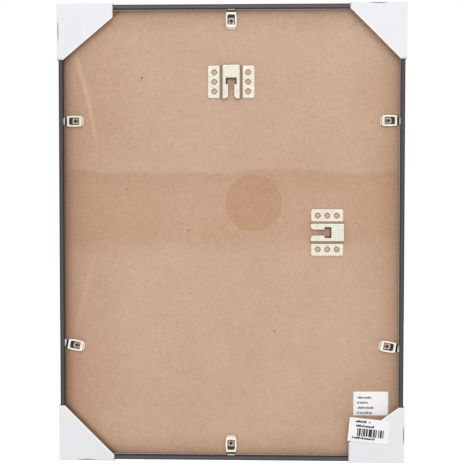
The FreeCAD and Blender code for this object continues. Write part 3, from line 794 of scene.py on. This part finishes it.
def label_paper(name, printed, strength):
    """Bright label paper. What is printed gives the share of ink at each point."""
    paint = Paint(name, 0.5)
    tone = paint.tint(shade(246, 245, 246), paint.noise(0.4 * MM, 3.0), 0.015)
    ink = paint.step(paint.noise(0.2 * MM, 2.0), 0.2, 0.4, 0.85 * strength, strength)
    paint.set("Base Color", paint.mark(tone, (34, 32, 34), printed(paint), ink))
    paint.set("Roughness", paint.step(paint.noise(2 * MM, 3.0), 0.3, 0.7, 0.45, 0.6))
    paint.bump(paint.noise(0.3 * MM, 3.0), 0.008 * MM)
    return paint.material


def info_print(paint):
    """Four short rows."""
    return rows_of_marks(paint, top=5.6 * MM, pitch=4.6 * MM, count=4, height=1.9 * MM,
                         left=-12.6 * MM, right=2.6 * MM, seed=1, letter=0.95 * MM)


def price_print(paint):
    """Two rows over a block of bars and a last row under it."""
    heading = rows_of_marks(paint, top=8.0 * MM, pitch=3.9 * MM, count=2, height=2.3 * MM,
                            left=-12.5 * MM, right=5 * MM, seed=2)
    bars = bars_of_marks(paint, middle_x=1.3 * MM, middle_z=-1.8 * MM, width=26 * MM, height=7.2 * MM)
    foot = rows_of_marks(paint, top=-6.9 * MM, pitch=0, count=1, height=2.2 * MM,
                         left=-14.5 * MM, right=12.5 * MM, seed=5)
    return paint.larger(heading, bars, foot)


def coat(mesh, material):
    """Gives the whole of a mesh one material."""
    mesh.materials.clear()
    mesh.materials.append(material)
    return mesh


# Meshes

def linked(name, data):
    """A new object in the scene."""
    made = bpy.data.objects.new(name, data)
    bpy.context.scene.collection.objects.link(made)
    return made


def smoothed(mesh, sharp_deg):
    """The mesh with smooth faces between its sharp edges."""
    mesh.shade_smooth()
    mesh.set_sharp_from_angle(angle=math.radians(sharp_deg))
    return mesh


def mesh_of(name, shape):
    """The mesh of a built shape, which is freed."""
    mesh = bpy.data.meshes.new(name)
    shape.to_mesh(mesh)
    shape.free()
    return mesh


def from_bmesh(name, shape, *materials):
    """A new smooth object of a built shape, whose faces keep their material numbers."""
    mesh = smoothed(mesh_of(name, shape), SMOOTH_DEG)
    for material in materials:
        mesh.materials.append(material)
    return linked(name, mesh)


def modified(piece, kind, **settings):
    """Replaces the piece's mesh by what one modifier makes of it."""
    modifier = piece.modifiers.new(kind.lower(), kind)
    for key, value in settings.items():
        setattr(modifier, key, value)
    graph = bpy.context.evaluated_depsgraph_get()
    made = bpy.data.meshes.new_from_object(piece.evaluated_get(graph))
    piece.modifiers.clear()
    piece.data = made


def smooth_share(value):
    """0 below 0, 1 above 1 and a smooth run between."""
    share = min(max(value, 0.0), 1.0)
    return share * share * (3 - 2 * share)


def card_seed(node):
    """What sets one protector's cockle apart from the others'."""
    return PROTECTOR_TURNS_DEG[node] / 90


def card_lift(x, z, seed):
    """How far a protector's panel stands off, at a place measured from its outer corner."""
    reach = min(x, -z)
    cockle = noise.noise(Vector((x / CARD_WAVE_LEN + seed, seed, z / CARD_WAVE_LEN)))
    wave = CARD_WAVE * (1 + cockle) * smooth_share(reach / FOLD_R / 6)
    return CARD_LIFT * smooth_share(reach / LIFT_RUN) + wave


def cut(shape, place, normal):
    """Cuts new edges into a shape where a plane crosses it."""
    everything = shape.verts[:] + shape.edges[:] + shape.faces[:]
    bmesh.ops.bisect_plane(shape, geom=everything, plane_co=place, plane_no=normal,
                           dist=CUT_TOLERANCE)


def prism(plan, back, front, walls):
    """A plan drawn out from back to front, with a wall on each of the given sides."""
    shape = bmesh.new()
    behind = [shape.verts.new((x, back, z)) for x, z in plan]
    ahead = [shape.verts.new((x, front, z)) for x, z in plan]
    shape.faces.new(behind)
    shape.faces.new(ahead[::-1])
    for index in walls:
        after = (index + 1) % len(plan)
        shape.faces.new([behind[after], behind[index], ahead[index], ahead[after]])
    bmesh.ops.recalc_face_normals(shape, faces=shape.faces)
    return shape


def card_skin(first_end, back, front, seed):
    """The outer skin of a folded protector, its outer corner at the origin."""
    plan = [(0, 0), (CARD_LEG, 0), (CARD_LEG, -first_end), (CARD_END, -CARD_LEG), (0, -CARD_LEG)]
    skin = prism(plan, back, front, (0, 4))
    folds = [edge for edge in skin.edges if len(edge.link_faces) == 2]
    bmesh.ops.bevel(skin, geom=folds, offset=FOLD_R, segments=4, profile=0.5, affect="EDGES")
    for step in range(1, int(CARD_LEG / CARD_GRID) + 1):
        for normal, sign in (((1, 0, 0), 1), ((0, 0, 1), -1)):
            cut(skin, Vector(normal) * (sign * step * CARD_GRID), normal)
    along = Vector((CARD_END - CARD_LEG, 0, first_end - CARD_LEG)).normalized()
    outward = along.cross(Vector((0, 1, 0)))
    # Painted highlight: a strip along the slanted edge takes the lighter edge material
    rim = Vector((CARD_LEG, 0, -first_end)) - outward * CARD_HIGHLIGHT_W
    cut(skin, rim, outward)
    for face in skin.faces:
        if (face.calc_center_median() - rim).dot(outward) > 0:
            face.material_index = 1
    for vert in skin.verts:
        lift = card_lift(vert.co.x, vert.co.z, seed)
        if vert.co.y < back + FOLD_R / 4:
            vert.co.y -= lift
        elif vert.co.y > front - FOLD_R / 4:
            vert.co.y += lift
    bmesh.ops.recalc_face_normals(skin, faces=skin.faces)
    return skin


def slit_cutter(back):
    """The lens shaped cut where the lock tab is tucked in, along the left fold."""
    arc = [(-FOLD_R, 0.0)]
    for step in range(SLIT_STEPS + 1):
        share = step / SLIT_STEPS
        arc.append((SLIT_BITE * math.sin(math.pi * share) ** SLIT_POWER, share))
    arc.append((-FOLD_R, 1.0))
    plan = [(x, -SLIT_START - share * SLIT_LEN) for x, share in arc]
    cutter = prism(plan, back - 3 * CARD_T, back + SLIT_DROP, range(len(plan)))
    return linked("slit_cutter", mesh_of("slit_cutter", cutter))


def thickened(piece, thickness, edge_slot):
    """Turns a skin into card or paper of a real thickness, its cut edges in their own slot."""
    modified(piece, "SOLIDIFY", thickness=thickness, offset=-1, use_even_offset=True,
             material_offset_rim=edge_slot)


def protector(node, card, edge):
    """One folded card protector over its corner."""
    low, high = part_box(node)
    skin = card_skin(CARD_FIRST_ENDS[node], low.y, high.y, card_seed(node))
    piece = from_bmesh(node + "_card", skin, card, edge)
    thickened(piece, CARD_T, 1)
    cutter = slit_cutter(low.y)
    modified(piece, "BOOLEAN", operation="DIFFERENCE", solver="EXACT", object=cutter)
    bpy.data.objects.remove(cutter)
    corner, turn = card_corner(node)
    piece.data.transform(Matrix.Translation(corner) @ turn)
    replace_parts(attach(piece, node), node)


def mirrored(corners):
    """The corners again on the other side, in the other order."""
    return [(-x, z, radius) for x, z, radius in corners[::-1]]


def rounded(corners):
    """A closed line through corners given as (x, z, radius), each turned in an arc."""
    points = []
    for index, (x, z, radius) in enumerate(corners):
        corner = Vector((x, z))
        if not radius:
            points.append(corner)
            continue
        before = (Vector(corners[index - 1][:2]) - corner).normalized()
        after = (Vector(corners[(index + 1) % len(corners)][:2]) - corner).normalized()
        half = before.angle(after) / 2
        centre = corner + (before + after).normalized() * radius / math.sin(half)
        start = corner + before * radius / math.tan(half) - centre
        end = corner + after * radius / math.tan(half) - centre
        for step in range(ARC_STEPS + 1):
            points.append(centre + start.lerp(end, step / ARC_STEPS).normalized() * radius)
    return points


def walked(loop, step):
    """The same closed line with its points no farther apart than the step."""
    points = []
    for start, end in zip(loop, loop[1:] + loop[:1]):
        count = max(1, math.ceil((end - start).length / step))
        points += [start.lerp(end, index / count) for index in range(count)]
    return points


def encloses(loop, point):
    """Whether a closed line goes round a point."""
    within = False
    for start, end in zip(loop, loop[1:] + loop[:1]):
        if (start.y > point.y) != (end.y > point.y):
            crossing = start.x + (point.y - start.y) * (end.x - start.x) / (end.y - start.y)
            if point.x < crossing:
                within = not within
    return within


def level_at(path, along):
    """The height of a bent strip at a place along it. The path gives (along, height)."""
    if along <= path[0][0]:
        return path[0][1]
    for (start, low), (end, high) in zip(path, path[1:]):
        if along <= end:
            return low + (high - low) * (along - start) / (end - start)
    return path[-1][1]


def bent_level(path, along):
    """The same with its bends rounded."""
    offsets = [SHEET_BEND * share for share in (-1, -0.5, 0, 0.5, 1)]
    return sum(level_at(path, along + offset) for offset in offsets) / len(offsets)


def sheet_points(lines, extra, grid):
    """The points and edges of closed lines, with extra points and a grid of points between."""
    points = []
    edges = []
    for line in lines:
        first = len(points)
        count = len(line)
        points += line
        edges += [(first + index, first + (index + 1) % count) for index in range(count)]
    points += extra
    taken = kdtree.KDTree(len(points))
    for index, point in enumerate(points):
        taken.insert(point.to_3d(), index)
    taken.balance()
    columns = int(max(point.x for point in lines[0]) / grid)
    rows = int(max(abs(point.y) for point in lines[0]) / grid)
    for column in range(-columns, columns + 1):
        for row in range(-rows, rows + 1):
            point = Vector((column * grid, row * grid))
            if taken.find(point.to_3d())[2] > GRID_CLEARANCE * grid:
                points.append(point)
    return points, edges


def pressed_sheet(name, outline, openings, extra, height, thickness, grid):
    """The mesh of a sheet metal part: cut along closed lines and pressed to a height."""
    lines = [walked(loop, grid) for loop in [outline] + openings]
    points, edges = sheet_points(lines, extra, grid)
    made = geometry.delaunay_2d_cdt(points, edges, [], 0, FILL_TOLERANCE)
    places, faces = made[0], made[2]
    sheet = bmesh.new()
    verts = [sheet.verts.new((place.x, -height(place.x, place.y), place.y)) for place in places]
    for face in faces:
        centre = sum((places[index] for index in face), Vector((0, 0))) / len(face)
        if encloses(lines[0], centre) and not any(encloses(line, centre) for line in lines[1:]):
            sheet.faces.new([verts[index] for index in face])
    loose = [vert for vert in sheet.verts if not vert.link_faces]
    bmesh.ops.delete(sheet, geom=loose, context="VERTS")
    bmesh.ops.recalc_face_normals(sheet, faces=sheet.faces)
    if sum(face.normal.y for face in sheet.faces) > 0:
        bmesh.ops.reverse_faces(sheet, faces=sheet.faces)
    piece = from_bmesh(name, sheet)
    thickened(piece, thickness, 0)
    modified(piece, "BEVEL", width=SHEET_EDGE_R, segments=2, limit_method="ANGLE",
             angle_limit=math.radians(PRESSED_EDGE_DEG))
    mesh = piece.data
    bpy.data.objects.remove(piece)
    return smoothed(mesh, PRESSED_SMOOTH_DEG)


def placed(name, mesh, material, at, turn_deg):
    """A pressed part set down on the board at a place, turned about the board's normal."""
    piece = linked(name, coat(mesh.copy(), material))
    piece.matrix_world = Matrix.Translation(at) @ turned(turn_deg)
    return piece


def clip_height(x, z):
    """The outer surface of a clip over the board, at a place measured from its pivot."""
    lip_end = TAIL_LIP - PLATE_TAIL
    plate = [(lip_end, FOOT_TOP), (lip_end + TAIL_RUN, PLATE_TOP), (PLATE_HEAD, PLATE_TOP),
             (PLATE_HEAD + STEP_RUN, FOOT_TOP)]
    tongue = [(-TONGUE_ROOT, PLATE_TOP), (TONGUE_RUN - TONGUE_ROOT, TONGUE_TOP)]
    gap = (WINDOW_W - TONGUE_W) / 4
    on_tongue = abs(x) < TONGUE_W / 2 + gap and z < (TONGUE_HEAD + WINDOW_HEAD) / 2
    if on_tongue and z > -TONGUE_ROOT - SHEET_BEND:
        return bent_level(tongue, z)
    return bent_level(plate, z)


def crowned(start, end, bulge):
    """Points of a shallow arc from start to end, its middle pushed out by the bulge."""
    points = []
    for step in range(1, CROWN_STEPS):
        share = step / CROWN_STEPS
        point = Vector(start).lerp(Vector(end), share)
        points.append((point.x + bulge * 4 * share * (1 - share), point.y, 0))
    return points


def circle(count):
    """Directions evenly spaced once round, as cosine and sine."""
    angles = [2 * math.pi * step / count for step in range(count)]
    return [(math.cos(angle), math.sin(angle)) for angle in angles]


def clip_mesh():
    """A turn clip with its pivot at the origin and its tip up."""
    shoulder = (PLATE_SHOULDER_W / 2, SHOULDER_LEN - PLATE_TAIL)
    head = (PLATE_HEAD_W / 2, PLATE_HEAD)
    bulge = PLATE_MID_W / 2 - (shoulder[0] + head[0]) / 2
    half = [(PLATE_TAIL_W / 2, -PLATE_TAIL, 0), (*shoulder, 0)]
    half += crowned(shoulder, head, bulge)
    half += [(*head, 0), (TIP_W / 2, PLATE_HEAD, 0), (TIP_W / 2, TIP_REACH, TIP_R)]
    outline = rounded(half + mirrored(half))
    window = [(WINDOW_W / 2, -TONGUE_ROOT, 0), (WINDOW_W / 2, WINDOW_HEAD, WINDOW_R)]
    tongue = [(TONGUE_W / 2, -TONGUE_ROOT, 0), (TONGUE_W / 2, TONGUE_HEAD, TONGUE_R)]
    opening = rounded(window + mirrored(window) + mirrored(tongue[::-1]) + tongue[::-1])
    bore = [Vector((PIVOT_HOLE_R * x, PIVOT_HOLE_R * z)) for x, z in circle(HOLE_STEPS)]
    return pressed_sheet("turn_clip", outline, [opening, bore], [], clip_height, CLIP_T, CLIP_GRID)


def turn_clips(material):
    """The six clips, each riding on its own body."""
    mesh = clip_mesh()
    board_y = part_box("back_board")[0].y
    for joint in hinges:
        node = joint["child"]
        pivot = Vector((joint["pos_m"][0], board_y, joint["pos_m"][2]))
        piece = placed(node + "_pressed", mesh, material, pivot, CLIP_TURNS_DEG[node])
        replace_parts(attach(piece, node), node)


def diamond_reach(x, z):
    """Distance from a hole's middle, measured so that equal reach draws a soft diamond."""
    return (abs(x + z) ** HOLE_POWER + abs(x - z) ** HOLE_POWER) ** (1 / HOLE_POWER) / math.sqrt(2)


def diamond(middle_x, middle_z, reach):
    """A soft diamond round a hole's middle."""
    points = []
    for x, z in circle(HOLE_STEPS):
        size = reach / diamond_reach(x, z)
        points.append(Vector((middle_x + x * size, middle_z + z * size)))
    return points


def hanger_holes():
    """The middles of a hanger's pierced holes."""
    places = []
    for side in (-1, 1):
        for row in range(HOLE_ROWS):
            places.append((side * HOLE_COLUMNS / 2, (row - (HOLE_ROWS - 1) / 2) * HOLE_PITCH))
    return places


def hanger_height(x, z):
    """The outer surface of a hanger over the board, at a place measured from its middle."""
    strap = [(STRAP_W / 2, STRAP_TOP), (STRAP_W / 2 + JOGGLE_RUN, HANGER_T)]
    level = bent_level(strap, abs(x))
    pierced = [(PRONG_IN, -PRONG_DEPTH), (PRONG_OUT, 0), (DIMPLE_OUT, HANGER_T)]
    for hole_x, hole_z in hanger_holes():
        reach = diamond_reach(x - hole_x, z - hole_z)
        if reach < DIMPLE_OUT:
            level = level_at(pierced, reach)
    return level


def hanger_mesh():
    """A hanger with its middle at the origin and its slot opening down."""
    edge = STRAP_H / 2 - SLOT_DROP
    neck_top = edge - SLOT_HEAD_H
    bottom = -STRAP_H / 2
    half = [
        (STRAP_W / 2, STRAP_H / 2, STRAP_R),
        (STRAP_W / 2, FLANGE_H / 2, 0),
        (HANGER_W / 2, FLANGE_H / 2, FLANGE_R),
        (HANGER_W / 2, -FLANGE_H / 2, FLANGE_R),
        (STRAP_W / 2, -FLANGE_H / 2, 0),
        (STRAP_W / 2, bottom, STRAP_R),
        (SLOT_NECK_W / 2, bottom, SLOT_MOUTH_R),
        (SLOT_NECK_W / 2, neck_top, 0),
        (SLOT_HEAD_W / 2, neck_top, 0),
        (SLOT_HEAD_W / 2, edge, 0),
    ]
    teeth = []
    for index in range(TOOTH_COUNT):
        x = ((TOOTH_COUNT - 1) / 2 - index) * TOOTH_PITCH
        teeth += [(x + TOOTH_H, edge, 0), (x, edge + TOOTH_H, 0), (x - TOOTH_H, edge, 0)]
    outline = rounded(half + teeth + mirrored(half))
    openings = [diamond(x, z, PRONG_IN) for x, z in hanger_holes()]
    rings = []
    for x, z in hanger_holes():
        for reach in (PRONG_OUT, (PRONG_OUT + DIMPLE_OUT) / 2, DIMPLE_OUT, DIMPLE_OUT + SHEET_BEND):
            rings += diamond(x, z, reach)
    return pressed_sheet("hanger", outline, openings, rings, hanger_height, HANGER_T, HANGER_GRID)


def hangers(material):
    """The same hanger twice, for hanging upright and sideways."""
    mesh = hanger_mesh()
    for node, turn_deg in HANGER_TURNS_DEG.items():
        at = centre_of(node)
        at.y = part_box("back_board")[0].y
        piece = placed(node + "_pressed", mesh, material, at, turn_deg)
        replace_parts(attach(piece, "frame"), node)


def rivet_profile():
    """Radius and height over the board of a hollow rivet, from its bore over its head."""
    points = [(RIVET_BORE_R, -RIVET_DEPTH)]
    roll_r = (RIVET_HEAD_R - RIVET_BORE_R) / 2
    for step in range(RIVET_ROLL_STEPS + 1):
        angle = math.pi * (1 - step / RIVET_ROLL_STEPS)
        radius = RIVET_BORE_R + roll_r + roll_r * math.cos(angle)
        points.append((radius, RIVET_HEAD_UNDER + RIVET_HEAD_T * math.sin(angle)))
    return points + [(RIVET_SHANK_R, RIVET_HEAD_UNDER), (RIVET_SHANK_R, -RIVET_DEPTH)]


def rivets(material):
    """The six rivets, each on the pivot of its clip, as one piece."""
    shape = bmesh.new()
    for joint in hinges:
        pivot = Vector(joint["pos_m"])
        rings = []
        for radius, height in rivet_profile():
            offsets = [Vector((radius * x, -height, radius * z)) for x, z in circle(RIVET_STEPS)]
            rings.append([shape.verts.new(pivot + offset) for offset in offsets])
        for ring, following in zip(rings, rings[1:] + rings[:1]):
            for step in range(RIVET_STEPS):
                after = (step + 1) % RIVET_STEPS
                shape.faces.new([ring[step], ring[after], following[after], following[step]])
    bmesh.ops.recalc_face_normals(shape, faces=shape.faces)
    piece = from_bmesh("rolled_rivets", shape, material)
    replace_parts(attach(piece, "frame"), "clip_rivets")


def paper(name, node, body, size, turn_deg, stand_off, material):
    """A paper label with slightly lifted corners. stand_off gives its height at a place."""
    centre = centre_of(node)
    place = Matrix.Translation(centre) @ turned(turn_deg)
    sheet = bmesh.new()
    columns, rows = (int(side / PAPER_GRID) for side in size)
    bmesh.ops.create_grid(sheet, x_segments=columns, y_segments=rows, size=0.5)
    bmesh.ops.rotate(sheet, verts=sheet.verts, matrix=Matrix.Rotation(math.radians(90), 3, "X"))
    for vert in sheet.verts:
        vert.co.x *= size[0]
        vert.co.z *= size[1]
        from_corner = math.hypot(size[0] / 2 - abs(vert.co.x), size[1] / 2 - abs(vert.co.z))
        curl = PAPER_CURL * (1 - smooth_share(from_corner / PAPER_CURL_RUN))
        lean = 1.0 if vert.co.x * vert.co.z < 0 else PAPER_CURL_LEAST
        vert.co.y = stand_off(place @ vert.co) - centre.y - curl * lean
    piece = from_bmesh(name, sheet, material)
    thickened(piece, PAPER_T, 0)
    piece.matrix_world = place
    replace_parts(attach(piece, body), node)


def board_height(spot):
    """Just behind the board, where the info label is stuck."""
    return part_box("info_label")[0].y


def protector_height(spot):
    """Just behind the lower right protector's panel, where the price label is stuck."""
    node = "corner_protector_bottom_right"
    low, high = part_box(node)
    return low.y - card_lift(high.x - spot.x, low.z - spot.z, card_seed(node)) - PAPER_T


# Light, floor and camera

def lamp(name, place, side, watts):
    """A soft square lamp turned to the frame's middle."""
    data = bpy.data.lights.new(name, "AREA")
    data.shape = "SQUARE"
    data.size = side
    data.energy = watts
    piece = linked(name, data)
    piece.location = place
    piece.rotation_euler = (middle - Vector(place)).to_track_quat("-Z", "Y").to_euler()


def white_rays(nodes):
    """1 on the rays that should find a white background: seen, mirrored or through glass."""
    rays = nodes.node("ShaderNodeLightPath").outputs
    return nodes.larger(rays["Is Camera Ray"], rays["Is Glossy Ray"], rays["Is Transmission Ray"])


def sky():
    """An even white dome, dimmer as a light than as a background."""
    world = bpy.data.worlds.new("studio")
    bpy.context.scene.world = world
    world.use_nodes = True
    nodes = Nodes(world.node_tree)
    background = world.node_tree.nodes["Background"].inputs
    background["Color"].default_value = (1, 1, 1, 1)
    nodes.feed(background["Strength"], nodes.step(white_rays(nodes), 0, 1, SKY_ON_OBJECT, 1))


def floor():
    """A plain pale floor under the hung frame, clear of the lower protectors' way off."""
    paint = Paint("pale_floor", 1.0)
    paint.set("Base Color", (0.8, 0.8, 0.8, 1))
    paint.set("Specular IOR Level", 0.0)
    paint.set("Emission Color", (1, 1, 1, 1))
    paint.set("Emission Strength", paint.times(white_rays(paint), FLOOR_GLOW))
    ground = bmesh.new()
    bmesh.ops.create_grid(ground, x_segments=1, y_segments=1, size=FLOOR_HALF)
    piece = linked("floor", coat(mesh_of("floor", ground), paint.material))
    piece.location = (0, 0, cad_bounds[0][2] - FLOOR_DROP)


def camera():
    """The camera of the photo."""
    data = bpy.data.cameras.new("camera")
    data.sensor_width = SENSOR_MM
    data.lens = FOCAL_PX * SENSOR_MM / IMAGE_SIDE_PX
    data.clip_start = CAMERA_NEAR
    piece = linked("camera", data)
    piece.location = CAMERA_PLACE
    piece.rotation_euler = Euler([math.radians(angle) for angle in CAMERA_TILT_DEG])
    bpy.context.scene.camera = piece


camera()
sky()
floor()
lamp("key", KEY_PLACE, KEY_SIDE, KEY_WATTS)
lamp("fill", FILL_PLACE, FILL_SIDE, FILL_WATTS)
bpy.context.scene.view_settings.view_transform = "Standard"

looks = {
    "corner_v_nails": nail_steel(),
    "glass_pane": glass(),
    "insert_sheet": plain_paper(),
    "back_board": hardboard(),
}
for node, (along, tone, raw_tone) in BAR_SHADED_TONES.items():
    looks[node] = frame_wrap(node + "_wrap", along, shade(*tone), shade(*raw_tone))
for node, material in looks.items():
    coat(frame["nodes"][node].data, material)
# The second colour of each plating is the painted shade on its bends and cut edges
turn_clips(plating("clip_plating", shade(238, 231, 216), shade(38, 31, 22), 0.28, clip_finish))
hangers(plating("hanger_plating", shade(229, 224, 209), shade(160, 138, 121), 0.34))
rivets(plating("rivet_plating", shade(170, 150, 146), shade(90, 72, 66), 0.3))

card = white_card()
edge = card_edge()
for node in PROTECTOR_TURNS_DEG:
    protector(node, card, edge)
paper("info_paper", "info_label", "frame", INFO_SIZE, 0,
      board_height, label_paper("info_paper", info_print, 0.9))
paper("price_paper", "price_label", "corner_protector_bottom_right", PRICE_SIZE, PRICE_TURN_DEG,
      protector_height, label_paper("price_paper", price_print, 1.0))
